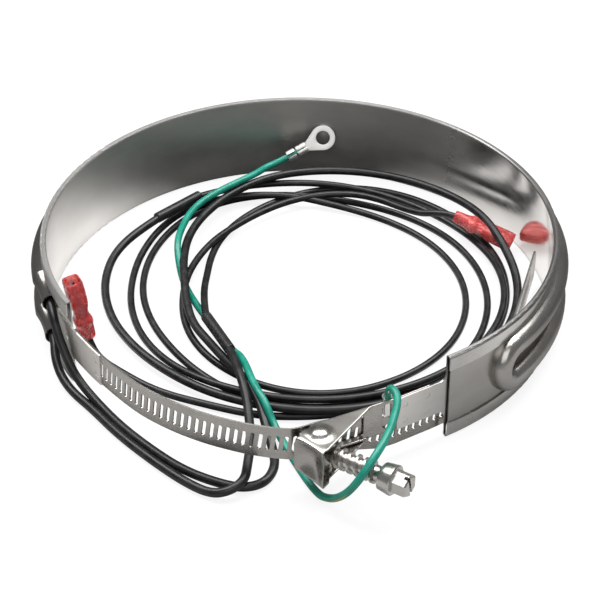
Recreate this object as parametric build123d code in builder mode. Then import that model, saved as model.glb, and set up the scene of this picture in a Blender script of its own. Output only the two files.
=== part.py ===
from build123d import *
from math import atan2, cos, pi, radians, sin, tan
import os

os.makedirs("parts", exist_ok=True)

# Driving dimensions, in millimetres and degrees. The frame's origin is the ring's centre on the
# surface that the band stands on, +Z is the ring's axis and -Y is the side with the clamp.

# Inner band: a rolled sheet with hems folded over the cover's edges
contact_radius = 103.2
band_height = 38.1
band_sheet = 0.6
band_start = -58.0
band_end = 211.2
hem_to_ridge = 0.3
fold_radius = 0.35
hem_clearance = 0.08

# Cover: a thinner sheet pressed into two hollow ridges with a U-shaped turn
cover_sheet = 0.5
cover_gap = 0.75
cover_start = -57.5
cover_end = 201.5
cover_plain_end = 198.8
ridge_spacing = 15.9
ridge_half_width = 4.5
ridge_rise = 0.45
turn_angle = -38.8
ridge_end = 192.5
pinch_angle = 196.5
pinch_half_width = 3.3
mouth_half_width = 3.9

# Heating cable and its joints to the leads
cable_diameter = 5.6
cable_clearance = 0.06
cable_end = 188.0
joint_diameter = 4.0
joint_arc = 4.4
lead_diameter = 3.6
lead_clearance = 0.2

# Straps
strap_width = 14.3
strap_thickness = 0.7
strap_start = -147.6
anchor_start = 202.6
anchor_end = 6.3
contact_clearance = 0.02
slot_pitch = 3.175
slot_width = 1.5
slot_length = 7.2
slot_slant = 8.0
first_slot = 20.4
strap_drop = 8.0
tail_corner_radius = 5.0

# Clamp housing, its swivel block and the worm screw
tongue_length = 22.0
tongue_root_radius = 3.0
housing_sheet = 0.8
housing_height = 14.9
housing_lean = 5.5
housing_reach = 34.9
weld_length = 15.0
running_clearance = 0.05
block_diameter = 9.2
block_end_clearance = 0.2
trunnion_diameter = 5.2
dome_height = 1.3
dome_diameter = 7.4
screw_angle = -33.0
journal_diameter = 4.9
journal_depth = 2.8
root_diameter = 6.0
thread_diameter = 8.3
thread_pitch = 3.175
thread_start = 6.0
thread_turns = 6
shank_end = 27.0
collar_diameter = 11.7
collar_length = 5.2
collar_neck_diameter = 10.4
collar_chamfer = 0.4
hex_across_flats = 7.94
hex_length = 6.0
hex_turn = 28.5
driver_slot_width = 1.2
driver_slot_depth = 2.0
driver_slot_turn = 103.0

# Ground wire and its terminals
wire_diameter = 3.0
crimp_clearance = 0.05
crimp_wall = 0.65
terminal_sheet = 0.9
ring_diameter = 11.4
ring_hole = 6.4
ring_reach = 18.3

# Stored leads
coil_margin = 15.7
coil_height = 8.0
coil_centre = (5.0, 6.5)
coil_eye_centre = (15.0, 4.5)
coil_widths = (32.5, 20.5)
coil_edge_radius = 3.0
pocket_clearance = 0.3
sleeve_diameter = 4.6
bend_share = 0.45

# Push-on terminals and their boots
boot_length = 28.0
boot_width = 8.8
boot_thickness = 5.2
boot_wall = 0.8
boot_neck_diameter = 6.2
boot_neck_length = 9.0
receptacle_width = 6.6
receptacle_sheet = 0.8
roll_diameter = 2.2

# Values that follow from the driving dimensions
mid_height = band_height / 2
coil_radius = contact_radius - coil_margin
band_outer = contact_radius + band_sheet
cover_inner = band_outer + cover_gap
cover_outer = cover_inner + cover_sheet
cable_radius = band_outer + cable_clearance + cable_diameter / 2
ridge_radius = cover_outer + ridge_rise
ridge_heights = (mid_height + ridge_spacing / 2, mid_height - ridge_spacing / 2)
hem_depth = ridge_heights[1] - ridge_half_width - hem_to_ridge
strap_floor = mid_height - strap_width / 2
housing_top = mid_height + housing_height / 2
housing_floor = mid_height - housing_height / 2
lead_radius = band_outer + lead_diameter / 2 + lead_clearance + 0.5


def polar(angle, radius, z=0.0):
    return Vector(radius * cos(radians(angle)), radius * sin(radians(angle)), z)


def radial_plane(angle):
    # Local x points away from the ring's axis and local y up
    return Plane(origin=(0, 0, 0), x_dir=polar(angle, 1), z_dir=polar(angle - 90, 1))


def bend_radii(points):
    # The largest arcs that leave each run a straight middle
    radii = []
    for before, corner, after in zip(points, points[1:], points[2:]):
        run_in = Vector(*corner) - Vector(*before)
        run_out = Vector(*after) - Vector(*corner)
        half_turn = radians(run_in.get_angle(run_out)) / 2
        radii.append(bend_share * min(run_in.length, run_out.length) / tan(half_turn))
    return radii


# Inner band
with BuildPart() as inner_band:
    with BuildSketch(radial_plane(band_start)):
        hem_inner = cover_outer + hem_clearance
        with BuildLine():
            FilletPolyline(
                (hem_inner, hem_depth),
                (hem_inner, band_sheet),
                (band_outer, band_sheet),
                (band_outer, band_height - band_sheet),
                (hem_inner, band_height - band_sheet),
                (hem_inner, band_height - hem_depth),
                radius=fold_radius,
            )
            offset(amount=band_sheet, side=Side.LEFT)
        make_face()
    revolve(axis=Axis.Z, revolution_arc=band_end - band_start)

    # The tongue runs straight on from the band's end, along its tangent
    tongue_plane = Plane(
        origin=polar(band_start, contact_radius, mid_height),
        x_dir=polar(band_start - 90, 1),
        z_dir=-polar(band_start, 1),
    )
    with BuildSketch(tongue_plane):
        with BuildLine():
            top_root = JernArc(
                (0, strap_width / 2 + tongue_root_radius), (0, -1), tongue_root_radius, 90
            )
            top_edge = Line(top_root @ 1, (tongue_length, strap_width / 2))
            free_end = Line(top_edge @ 1, (tongue_length, -strap_width / 2))
            bottom_edge = Line(free_end @ 1, (tongue_root_radius, -strap_width / 2))
            bottom_root = JernArc(bottom_edge @ 1, (-1, 0), tongue_root_radius, 90)
            Line(bottom_root @ 1, top_root @ 0)
        make_face()
    extrude(amount=-band_sheet)

    # Round marks where the tongue is welded to the clamp's strap
    weld_mark_radius = 1.3
    weld_mark_depth = 0.2
    with BuildSketch(tongue_plane.offset(-band_sheet)):
        with Locations((8.5, 3.6), (8.5, -3.6), (18.5, 3.6), (18.5, -3.6)):
            Circle(weld_mark_radius)
    extrude(amount=weld_mark_depth, mode=Mode.SUBTRACT)

inner_band.part.label = "inner_band"
export_step(inner_band.part, "parts/inner_band.step")


# Cover: the ridge's section is a half round on straight sides, drawn deep and trimmed at the end
def ridge_section(height, half_width):
    side_depth = 2.0
    with Locations((ridge_radius - side_depth / 2, height)):
        SlotOverall(2 * half_width + side_depth, 2 * half_width)


turn_axis = Axis((0, 0, mid_height), -polar(turn_angle, 1))
main_arc = ridge_end - turn_angle
mouth_stations = (
    (ridge_end, ridge_half_width),
    (pinch_angle, pinch_half_width),
    (cover_end, mouth_half_width),
)

with BuildPart() as outer_cover:
    seat = band_sheet + fold_radius
    with BuildSketch(radial_plane(cover_start)):
        with Locations(((cover_inner + cover_outer) / 2, mid_height)):
            Rectangle(cover_sheet, band_height - 2 * seat)
    revolve(axis=Axis.Z, revolution_arc=cover_plain_end - cover_start)

    # Outside of the ridges first, then their hollows
    for inset, mode in ((0, Mode.ADD), (cover_sheet, Mode.SUBTRACT)):
        with BuildSketch(radial_plane(turn_angle)) as ridge_ends:
            for height in ridge_heights:
                ridge_section(height, ridge_half_width - inset)
        revolve(axis=Axis.Z, revolution_arc=main_arc, mode=mode)
        with BuildSketch(radial_plane(turn_angle)) as turn_start:
            ridge_section(ridge_heights[1], ridge_half_width - inset)
        revolve(axis=turn_axis, revolution_arc=180, mode=mode)
        for height in ridge_heights:
            for angle, half_width in mouth_stations:
                with BuildSketch(radial_plane(angle)):
                    ridge_section(height, half_width - inset)
            loft(mode=mode)
    Cylinder(
        cover_inner,
        band_height,
        align=(Align.CENTER, Align.CENTER, Align.MIN),
        mode=Mode.SUBTRACT,
    )

outer_cover.part.label = "outer_cover"
export_step(outer_cover.part, "parts/outer_cover.step")

# Heating cable: one length up the lower ridge, round the turn and back along the upper ridge
with BuildPart() as heating_cable:
    with BuildSketch(radial_plane(turn_angle)):
        with Locations([(cable_radius, height) for height in ridge_heights]):
            Circle(cable_diameter / 2)
    revolve(axis=Axis.Z, revolution_arc=cable_end - turn_angle)
    with BuildSketch(radial_plane(turn_angle)):
        with Locations((cable_radius, ridge_heights[1])):
            Circle(cable_diameter / 2)
    revolve(axis=turn_axis, revolution_arc=180)

heating_cable.part.label = "heating_cable"
export_step(heating_cable.part, "parts/heating_cable.step")

# Crimped joints between cable and leads, inside the ridges
for name, height in zip(("lead_joint_upper", "lead_joint_lower"), ridge_heights):
    with BuildPart() as lead_joint:
        with BuildSketch(radial_plane(cable_end)):
            with Locations((lead_radius, height)):
                Circle(joint_diameter / 2)
        revolve(axis=Axis.Z, revolution_arc=joint_arc)
    lead_joint.part.label = name
    export_step(lead_joint.part, f"parts/{name}.step")

# The straps' shared path from the band's end to the clamp, as angle and distance outside the
# contact circle
bow_shape = (
    (-139.9, 0.95),
    (-131.6, 2.75),
    (-123.2, 5.75),
    (-115.0, 8.0),
    (-107.4, 10.1),
    (-99.9, 12.0),
)
strap_radius = band_outer - strap_thickness / 2
bow_points = [polar(strap_start, strap_radius)]
bow_points += [polar(angle, contact_radius + rise) for angle, rise in bow_shape]

# Clamp frame: s runs along the clamp's back plate and d away from the ring
along = polar(band_start + 90 - housing_lean, 1)
away = polar(band_start - housing_lean, 1)
plate_corner = (
    polar(band_start, contact_radius - contact_clearance - housing_sheet / 2)
    + polar(band_start - 90, 1) * tongue_length
)
clamp_origin = plate_corner - along * housing_reach


def clamp_point(s, d, z=0.0):
    return clamp_origin + along * s + away * d + Vector(0, 0, z)


def clamp_plane(z):
    # Local x is s and local y is -d
    return Plane(origin=clamp_point(0, 0, z), x_dir=along, z_dir=(0, 0, 1))


# Plain strap: welded outside the band's left end, then outside the slotted strap
with BuildPart() as anchor_strap:
    anchor_face = band_outer + contact_clearance
    lap = strap_thickness / 2 + contact_clearance
    lap_points = [polar(strap_start, anchor_face)]
    lap_points += [polar(angle, contact_radius + rise + lap) for angle, rise in bow_shape[:1]]
    lap_direction = polar(bow_shape[1][0], contact_radius + bow_shape[1][1] + lap) - lap_points[1]
    lap_heading = lap_direction.normalized()
    lap_points.append(lap_points[1] + lap_heading * (anchor_end + 4.2))
    with BuildSketch(Plane.XY.offset(strap_floor)):
        with BuildLine():
            grip = CenterArc((0, 0), anchor_face, anchor_start, strap_start + 360 - anchor_start)
            FilletPolyline(*lap_points, radius=bend_radii(lap_points))
            offset(amount=strap_thickness, side=Side.RIGHT)
        make_face()
    extrude(amount=strap_width)

    # Cut square at its end, past the first bend
    with BuildSketch(Plane(origin=lap_points[1] + lap_heading * anchor_end, z_dir=lap_heading)):
        Rectangle(4 * strap_width, 6 * strap_width)
    extrude(amount=strap_width, mode=Mode.SUBTRACT)

    # Weld marks, as angle and height from the strap's middle
    for angle, rise in ((-151.0, 0.0), (-144.7, -2.4), (-137.9, 3.6), (-137.9, -3.6)):
        mark_plane = Plane(
            origin=polar(angle, anchor_face + strap_thickness + 1.0, mid_height + rise),
            z_dir=polar(angle, 1),
        )
        mark_depth = 1.2 if angle < strap_start else 0.5
        with BuildSketch(mark_plane):
            Circle(weld_mark_radius)
        extrude(amount=-mark_depth, mode=Mode.SUBTRACT)

anchor_strap.part.label = "anchor_strap"
export_step(anchor_strap.part, "parts/anchor_strap.step")

# Slotted strap: bow, stretch behind the clamp that droops by strap_drop, and free tail
strap_depth = housing_sheet / 2 + 0.2 + strap_thickness / 2
tail_shape = ((-57.2, 1.4), (-48.8, 2.8), (-40.3, 4.7), (-31.6, 7.1), (8.0, 3.0))
plate_start = -3.5
droop_start = 3.0
droop_end = housing_reach - 5.9
plate_end = housing_reach - 1.4
bow_route = bow_points + [clamp_point(plate_start - 3.6, -strap_depth)]
bow_route.append(clamp_point(plate_start + 3.6, -strap_depth))
bow_route.insert(-2, clamp_point(-13.8, -5.3))
tail_route = [clamp_point(plate_end, -strap_depth), clamp_point(housing_reach + 0.4, -strap_depth)]
tail_route += [polar(angle, contact_radius - sink) for angle, sink in tail_shape]

with BuildPart() as perforated_strap:
    with BuildSketch(Plane.XY.offset(strap_floor)):
        with BuildLine() as bow_line:
            FilletPolyline(*bow_route, radius=bend_radii(bow_route))
            bow_wire = bow_line.wire()
            offset(amount=strap_thickness / 2, side=Side.BOTH)
        make_face()
    extrude(amount=strap_width)

    droop_plane = Plane(origin=clamp_point(0, -strap_depth), x_dir=along, z_dir=away)
    droop_slope = atan2(strap_drop, droop_end - droop_start)
    droop_bend = 0.95 * (droop_start - plate_start - 3.4) / tan(droop_slope / 2)
    droop_points = (
        (plate_start + 3.4, strap_floor),
        (droop_start, strap_floor),
        (droop_end, strap_floor - strap_drop),
        (plate_end + 0.2, strap_floor - strap_drop),
    )
    with BuildSketch(droop_plane):
        with BuildLine():
            FilletPolyline(*droop_points, radius=droop_bend)
            offset(amount=strap_width, side=Side.LEFT)
        make_face()
    extrude(amount=strap_thickness / 2, both=True)

    with BuildSketch(Plane.XY.offset(strap_floor - strap_drop)):
        with BuildLine() as tail_line:
            FilletPolyline(*tail_route, radius=bend_radii(tail_route))
            tail_wire = tail_line.wire()
            offset(amount=strap_thickness / 2, side=Side.BOTH)
        make_face()
    extrude(amount=strap_width)

    # Rounded end of the tail
    tail_tip = tail_wire @ 1
    tail_heading = tail_wire % 1
    tip_plane = Plane(
        origin=(tail_tip.X, tail_tip.Y, mid_height - strap_drop),
        x_dir=tail_heading,
        z_dir=Vector(tail_heading.Y, -tail_heading.X, 0),
    )
    with BuildSketch(tip_plane):
        Rectangle(4 * tail_corner_radius, 2 * strap_width)
        with Locations((-2 * tail_corner_radius, 0)):
            RectangleRounded(
                4 * tail_corner_radius, strap_width, tail_corner_radius, mode=Mode.SUBTRACT
            )
        with Locations((-2 * tail_corner_radius, 0)):
            Rectangle(2 * tail_corner_radius, 2 * strap_width, mode=Mode.SUBTRACT)
    extrude(amount=strap_thickness, both=True, mode=Mode.SUBTRACT)

    # One slanted slot each pitch, along the bow, the droop and the tail
    droop_length = plate_end - plate_start - 3.6
    strap_length = bow_wire.length + droop_length + tail_wire.length
    slot_count = int((strap_length - first_slot - 12.0) / slot_pitch)
    for number in range(slot_count):
        place = first_slot + number * slot_pitch
        if place < bow_wire.length:
            centre = bow_wire.position_at(place, PositionMode.LENGTH)
            heading = bow_wire.tangent_at(place, PositionMode.LENGTH)
            height = mid_height
        elif place < bow_wire.length + droop_length:
            s = plate_start + 3.6 + place - bow_wire.length
            centre = clamp_point(s, -strap_depth)
            heading = along
            share = min(max((s - droop_start) / (droop_end - droop_start), 0), 1)
            height = mid_height - strap_drop * share
        else:
            rest = place - bow_wire.length - droop_length
            centre = tail_wire.position_at(rest, PositionMode.LENGTH)
            heading = tail_wire.tangent_at(rest, PositionMode.LENGTH)
            height = mid_height - strap_drop
        slot_plane = Plane(
            origin=(centre.X, centre.Y, height),
            x_dir=heading,
            z_dir=Vector(heading.Y, -heading.X, 0),
        )
        with BuildSketch(slot_plane):
            SlotOverall(slot_length, slot_width, rotation=90 - slot_slant)
    extrude(amount=strap_thickness, both=True, mode=Mode.SUBTRACT)

perforated_strap.part.label = "perforated_strap"
export_step(perforated_strap.part, "parts/perforated_strap.step")

# Clamp housing: box corners as s and d
box_left = (-9.5, 3.5)
box_front = (-4.5, 17.2)
box_right = (24.0, housing_sheet / 2)
pivot = (0.1, 5.95)
window_start = 4.0
window_length = 17.0
window_height = 9.5
strap_hole = (housing_reach - 3.9, 3.8, 11.5)


def flip(point):
    return (point[0], -point[1])


with BuildPart() as clamp_housing:
    back = housing_sheet / 2
    with BuildSketch(clamp_plane(housing_floor)):
        Polygon(
            flip((-0.5, -back)),
            flip(box_left),
            flip(box_front),
            flip(box_right),
            flip((box_right[0], -back)),
            align=None,
        )
    extrude(amount=housing_height)
    wall = Vector(*box_front) - Vector(*box_left)
    inward = Vector(wall.Y, -wall.X).normalized() * housing_sheet
    wall_step = wall.normalized() * 4
    inner_left = Vector(*box_left) + inward - wall_step * 1.6
    inner_front = Vector(*box_front) + inward + wall_step
    bend = clamp_housing.edges().filter_by(
        lambda edge: abs(edge.length - wall.length) < 0.01
    )
    fillet(bend, radius=1.2)
    with BuildSketch(clamp_plane(housing_floor + housing_sheet)):
        Polygon(
            flip((box_right[0] + 2, back)),
            flip((-0.5, back)),
            flip((-0.5, inner_left.Y)),
            flip((inner_left.X, inner_left.Y)),
            flip((inner_front.X, inner_front.Y)),
            flip((box_right[0] + 2, inner_front.Y)),
            align=None,
        )
    extrude(amount=housing_height - 2 * housing_sheet, mode=Mode.SUBTRACT)

    # Back plate, bent to lie behind the tongue
    weld_end = (
        plate_corner + polar(band_start + 90, 1) * weld_length
    )
    plate_points = (clamp_point(-0.5, 0), plate_corner, weld_end)
    with BuildSketch(Plane.XY.offset(housing_floor)):
        with BuildLine():
            FilletPolyline(*plate_points, radius=12)
            offset(amount=back, side=Side.BOTH)
        make_face()
    extrude(amount=housing_height)

    # Window for the thread, the hole in the strap and the tab below the window
    front_plane = Plane(origin=clamp_point(0, 0, mid_height), x_dir=along, z_dir=away)
    with BuildSketch(front_plane):
        with Locations((window_start + window_length / 2, -0.3)):
            RectangleRounded(window_length, window_height, 1.0)
        with Locations((strap_hole[0], 0.4)):
            SlotOverall(strap_hole[2], strap_hole[1], rotation=90)
    extrude(amount=housing_sheet, both=True, mode=Mode.SUBTRACT)
    tab_top = mid_height - 0.3 - window_height / 2
    with BuildSketch(clamp_plane(tab_top - housing_sheet)):
        with Locations(flip((window_start + window_length / 2 + 1, 1.4))):
            Rectangle(window_length - 3, 2.8)
    extrude(amount=housing_sheet)

    # Pressed domes over the swivel block's trunnions
    trunnion_seat = trunnion_diameter / 2 + running_clearance
    for side in (1, -1):
        dome_plane = Plane(
            origin=clamp_point(*pivot, mid_height + side * housing_height / 2),
            z_dir=(0, 0, side),
        )
        with BuildSketch(dome_plane):
            Circle(dome_diameter / 2)
        extrude(amount=dome_height, taper=20)
        crown = clamp_housing.faces().filter_by(Plane.XY).sort_by(Axis.Z)[-1 if side > 0 else 0]
        fillet(crown.edges(), radius=0.5)
        with BuildSketch(dome_plane.offset(-housing_sheet)):
            Circle(trunnion_seat)
        extrude(amount=housing_sheet + dome_height - 0.5, mode=Mode.SUBTRACT)

clamp_housing.part.label = "clamp_housing"
export_step(clamp_housing.part, "parts/clamp_housing.step")

# Screw frame: local z is the screw's axis, from the pivot outwards
pivot_point = clamp_point(*pivot, mid_height)
screw_direction = polar(screw_angle, 1)


def screw_plane(distance):
    # Local x is level and local y is up
    return Plane(
        origin=pivot_point + screw_direction * distance,
        x_dir=polar(screw_angle + 90, 1),
        z_dir=screw_direction,
    )


# Swivel block: an upright pin with trunnions and a blind cross bore for the screw's journal
with BuildPart() as swivel_block:
    block_height = housing_height - 2 * housing_sheet - 2 * block_end_clearance
    trunnion_reach = housing_height + 2 * (dome_height - 0.5 - block_end_clearance)
    with BuildSketch(Plane(origin=pivot_point)):
        Circle(block_diameter / 2)
    extrude(amount=block_height / 2, both=True)
    with BuildSketch(Plane(origin=pivot_point)):
        Circle(trunnion_diameter / 2)
    extrude(amount=trunnion_reach / 2, both=True)
    with BuildSketch(screw_plane(-journal_depth - 0.2)):
        Circle(journal_diameter / 2 + running_clearance)
    extrude(amount=block_diameter, mode=Mode.SUBTRACT)

swivel_block.part.label = "swivel_block"
export_step(swivel_block.part, "parts/swivel_block.step")

# Worm screw: journal, threaded shank, collar and slotted hex head turned from one bar
with BuildPart() as worm_screw:
    journal_end = block_diameter / 2 + 0.3
    head_start = shank_end + collar_length
    turned_plane = Plane(
        origin=pivot_point, x_dir=screw_direction, z_dir=polar(screw_angle - 90, 1)
    )
    with BuildSketch(turned_plane):
        with BuildLine():
            Polyline(
                (-journal_depth, 0),
                (-journal_depth, journal_diameter / 2),
                (journal_end, journal_diameter / 2),
                (journal_end, root_diameter / 2),
                (shank_end, root_diameter / 2),
                (shank_end, collar_neck_diameter / 2),
                (head_start - 2 * collar_chamfer, collar_diameter / 2),
                (head_start - collar_chamfer, collar_diameter / 2),
                (head_start, collar_diameter / 2 - collar_chamfer),
                (head_start, 0),
                close=True,
            )
        make_face()
    revolve(axis=Axis(pivot_point, screw_direction))
    with BuildSketch(screw_plane(head_start)):
        RegularPolygon(hex_across_flats / 2, 6, major_radius=False, rotation=hex_turn)
    extrude(amount=hex_length)
    head_face = worm_screw.faces().sort_by(Axis(pivot_point, screw_direction))[-1]
    chamfer(head_face.edges(), 0.5)
    with BuildSketch(screw_plane(head_start + hex_length)):
        Rectangle(hex_across_flats * 1.3, driver_slot_width, rotation=driver_slot_turn)
    extrude(amount=-driver_slot_depth, mode=Mode.SUBTRACT)

    # Thread: a trapezoid swept along a helix, sunk a little into the root
    thread_origin = screw_plane(thread_start).origin
    sunk_root = root_diameter / 2 - 0.1
    crest = thread_diameter / 2
    with BuildLine():
        turns = Helix(
            pitch=thread_pitch,
            height=thread_pitch * thread_turns,
            radius=sunk_root,
            center=thread_origin,
            direction=screw_direction,
        )
    start = turns @ 0
    outwards = (start - thread_origin).normalized()
    with BuildSketch(Plane(origin=start, x_dir=outwards, z_dir=turns % 0)):
        with BuildLine():
            Polyline(
                (0, -1.05),
                (crest - sunk_root, -0.4),
                (crest - sunk_root, 0.4),
                (0, 1.05),
                close=True,
            )
        make_face()
    sweep(path=turns, is_frenet=True)

worm_screw.part.label = "worm_screw"
export_step(worm_screw.part, "parts/worm_screw.step")

# Ground lug: a plate on the ring side of the clamp's strap, rolled round the wire
crimp_bore = wire_diameter / 2 + crimp_clearance
crimp_outer = crimp_bore + crimp_wall
lug_place = housing_reach - 2.1
lug_floor = strap_floor + strap_width - strap_drop + 0.4
lug_top = housing_top - 0.3
wire_start = lug_top - 5.15
lug_axis_depth = back + contact_clearance + housing_sheet + crimp_bore
with BuildPart() as ground_lug:
    with BuildSketch(clamp_plane(lug_floor)):
        with Locations(flip((lug_place, -lug_axis_depth))):
            Circle(crimp_outer)
        with Locations(flip((lug_place, -back - contact_clearance - housing_sheet / 2))):
            Rectangle(4.6, housing_sheet)
        with Locations(flip((lug_place, -lug_axis_depth))):
            Circle(crimp_bore, mode=Mode.SUBTRACT)
    extrude(amount=lug_top - lug_floor)

ground_lug.part.label = "ground_lug"
export_step(ground_lug.part, "parts/ground_lug.step")

# Ring terminal: flat ring, neck and two crimp barrels, leaning on the band's back wall
ring_centre = polar(83.95, contact_radius - 3.64, 20.4)
ring_plane = Plane(origin=ring_centre, x_dir=(-0.875, -0.281, -0.394), z_dir=(0, -0.814, 0.581))
barrel_lift = crimp_outer - terminal_sheet / 2
with BuildPart() as ring_terminal:
    with BuildSketch(ring_plane):
        Circle(ring_diameter / 2)
        with Locations((ring_diameter / 2 + 1.0, 0)):
            Rectangle(6.0, 4.4)
        Circle(ring_hole / 2, mode=Mode.SUBTRACT)
    extrude(amount=terminal_sheet / 2, both=True)
    for start, length, growth in ((9.2, 4.0, 0.0), (13.6, ring_reach - 13.6, 0.25)):
        barrel_plane = Plane(
            origin=ring_plane.from_local_coords((start, 0, barrel_lift)),
            z_dir=ring_plane.x_dir,
        )
        with BuildSketch(barrel_plane):
            Circle(crimp_outer + growth)
            Circle(crimp_bore + growth, mode=Mode.SUBTRACT)
        extrude(amount=length)
    with BuildSketch(ring_plane):
        with Locations(((ring_diameter / 2 + 2 + ring_reach) / 2, 0)):
            Rectangle(ring_reach - ring_diameter / 2 - 2, 2.2)
    extrude(amount=-terminal_sheet / 2)

ring_terminal.part.label = "ring_terminal"
export_step(ring_terminal.part, "parts/ring_terminal.step")


# A cord's tube: straight runs joined by tangent arcs
def cord_tube(name, points, diameter):
    radii = bend_radii(points)
    with BuildPart() as tube:
        with BuildLine() as route:
            FilletPolyline(*points, radius=radii)
        path = route.wire()
        with BuildSketch(Plane(origin=path @ 0, z_dir=path % 0)):
            Circle(diameter / 2)
        sweep(path=path)
    tube.part.label = name
    export_step(tube.part, f"parts/{name}.step")
    section_volume = pi * diameter**2 / 4 * path.length
    print(name, "radii", [round(radius, 1) for radius in radii])
    print(name, "volume", round(tube.part.volume, 1), "expected", round(section_volume, 1))


lead_start = cable_end + joint_arc + 0.08
lead_bend = (lead_start + cover_end) / 2 + 0.6
lead_upper_route = (
    polar(lead_start, lead_radius, ridge_heights[0]),
    polar(lead_bend, lead_radius, ridge_heights[0]),
    (-97.8, -42.0, 27.0),
    (-96.2, -48.6, 24.0),
    (-95.0, -52.6, 17.6),
    (-92.8, -56.8, 11.0),
    (-88.6, -63.2, 5.6),
    (-80.8, -73.4, 2.4),
    (-69.6, -86.4, 1.85),
    (-56.8, -99.8, 1.85),
    (-43.4, -111.2, 1.85),
    (-30.4, -118.4, 1.85),
    (-20.6, -121.4, 1.85),
    (-12.6, -118.2, 1.85),
    (-9.0, -109.0, 1.85),
    (-10.2, -98.6, 1.85),
    (-13.0, -87.5, 1.85),
    (-15.4, -76.5, 1.85),
)
lead_lower_route = (
    polar(lead_start, lead_radius, ridge_heights[1]),
    polar(lead_bend, lead_radius, ridge_heights[1]),
    (-97.8, -42.0, 11.0),
    (-98.2, -49.6, 7.6),
    (-96.0, -57.4, 4.0),
    (-91.0, -66.0, 2.1),
    (-83.6, -77.4, 1.85),
    (-71.2, -93.4, 1.85),
    (-56.2, -109.0, 1.85),
    (-43.4, -120.2, 1.85),
    (-33.4, -126.6, 2.2),
    (-26.2, -126.0, 4.2),
    (-20.9, -121.2, 5.7),
    (-19.4, -112.4, 4.6),
    (-18.4, -100.6, 1.85),
    (-19.2, -88.0, 1.85),
    (-20.6, -75.5, 1.85),
)
ground_route = (
    clamp_point(lug_place, -lug_axis_depth, wire_start),
    clamp_point(lug_place, -lug_axis_depth, housing_top + 2.3),
    clamp_point(lug_place, 0.4, housing_top + 5.9),
    clamp_point(lug_place - 0.3, 6.0, housing_top + 5.1),
    (33.8, -117.9, 30.5),
    (30.4, -128.0, 29.8),
    (25.7, -136.0, 27.4),
    (20.8, -139.4, 20.6),
    (16.4, -136.6, 12.0),
    (11.6, -130.8, 4.6),
    (5.6, -124.1, 1.6),
    (0.1, -115.6, 1.55),
    (-4.2, -105.0, 1.55),
    (-7.4, -95.0, 1.55),
    (-9.0, -86.0, 1.55),
    (-10.6, -76.0, 1.55),
)
wire_exit = ring_plane.from_local_coords((9.6, 0, barrel_lift))
wire_clear = ring_plane.from_local_coords((ring_reach + 3.5, 0, barrel_lift))
ground_end_route = (
    wire_exit,
    wire_clear,
    (-15.4, 88.2, 11.4),
    (-22.4, 80.4, 10.6),
    (-27.6, 74.0, 6.6),
)

# Terminals: where the wire enters and where the mouth is, each as angle, distance inside the
# contact circle and height, and the direction of the width
terminals = (
    ("left", (204.59, 9.94, 9.6), (202.76, 6.03, 36.5), Vector(0.39, -0.92, 0.11)),
    ("right", (34.74, 21.42, 12.4), (21.64, 3.69, 4.5), Vector(0.365, 0.931, 0.0)),
)
neck_bore = boot_neck_diameter / 2 - boot_wall - 0.2


def inside_point(angle, distance, height):
    return polar(angle, contact_radius - distance, height)


def terminal_plane(entry, mouth, width, distance):
    direction = (mouth - entry).normalized()
    across = (width - direction * width.dot(direction)).normalized()
    return Plane(origin=entry + direction * distance, x_dir=across, z_dir=direction)


for side, entry_place, mouth_place, width in terminals:
    entry = inside_point(*entry_place)
    mouth = inside_point(*mouth_place)
    with BuildPart() as terminal_cover:
        with BuildSketch(terminal_plane(entry, mouth, width, 0)):
            Circle(boot_neck_diameter / 2 + 0.4)
        extrude(amount=1.6)
        with BuildSketch(terminal_plane(entry, mouth, width, 0)):
            Circle(boot_neck_diameter / 2)
        extrude(amount=boot_neck_length)
        with BuildSketch(terminal_plane(entry, mouth, width, boot_neck_length)):
            Circle(boot_neck_diameter / 2)
        with BuildSketch(terminal_plane(entry, mouth, width, boot_neck_length + 2)):
            RectangleRounded(boot_width, boot_thickness, 1.2)
        loft()
        with BuildSketch(terminal_plane(entry, mouth, width, boot_neck_length + 2)):
            RectangleRounded(boot_width, boot_thickness, 1.2)
        extrude(amount=boot_length - boot_neck_length - 2)
        with BuildSketch(terminal_plane(entry, mouth, width, 0)):
            Circle(neck_bore)
        extrude(amount=boot_neck_length + 4, mode=Mode.SUBTRACT)
        with BuildSketch(terminal_plane(entry, mouth, width, boot_neck_length + 2.5)):
            RectangleRounded(boot_width - 2 * boot_wall, boot_thickness - 2 * boot_wall, 0.5)
        extrude(amount=boot_length, mode=Mode.SUBTRACT)
    terminal_cover.part.label = f"terminal_cover_{side}"
    export_step(terminal_cover.part, f"parts/terminal_cover_{side}.step")

    with BuildPart() as receptacle:
        roll_centre = (receptacle_width - roll_diameter) / 2
        blade_start = boot_neck_length + 3
        with BuildSketch(terminal_plane(entry, mouth, width, 3)):
            Circle(neck_bore - 0.1)
            Circle(wire_diameter / 2 + 0.05, mode=Mode.SUBTRACT)
        extrude(amount=boot_neck_length + 0.5)
        with BuildSketch(terminal_plane(entry, mouth, width, blade_start)):
            with Locations((0, -(roll_diameter - receptacle_sheet) / 2)):
                Rectangle(2 * roll_centre, receptacle_sheet)
            with Locations((roll_centre, 0), (-roll_centre, 0)):
                Circle(roll_diameter / 2)
        extrude(amount=boot_length - blade_start - 2)
    receptacle.part.label = f"terminal_receptacle_{side}"
    export_step(receptacle.part, f"parts/terminal_receptacle_{side}.step")

left_entry = inside_point(*terminals[0][1])
left_inward = (inside_point(*terminals[0][2]) - left_entry).normalized()
lead_end_route = (
    left_entry + left_inward * 7,
    left_entry - left_inward * 1.0,
    (-81.6, -43.6, 2.6),
    (-74.6, -51.0, 1.6),
    (-64.6, -60.4, 1.55),
    (-52.6, -67.6, 1.55),
    (-42.0, -71.4, 1.55),
    (-30.5, -71.4, 1.55),
)

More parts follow.
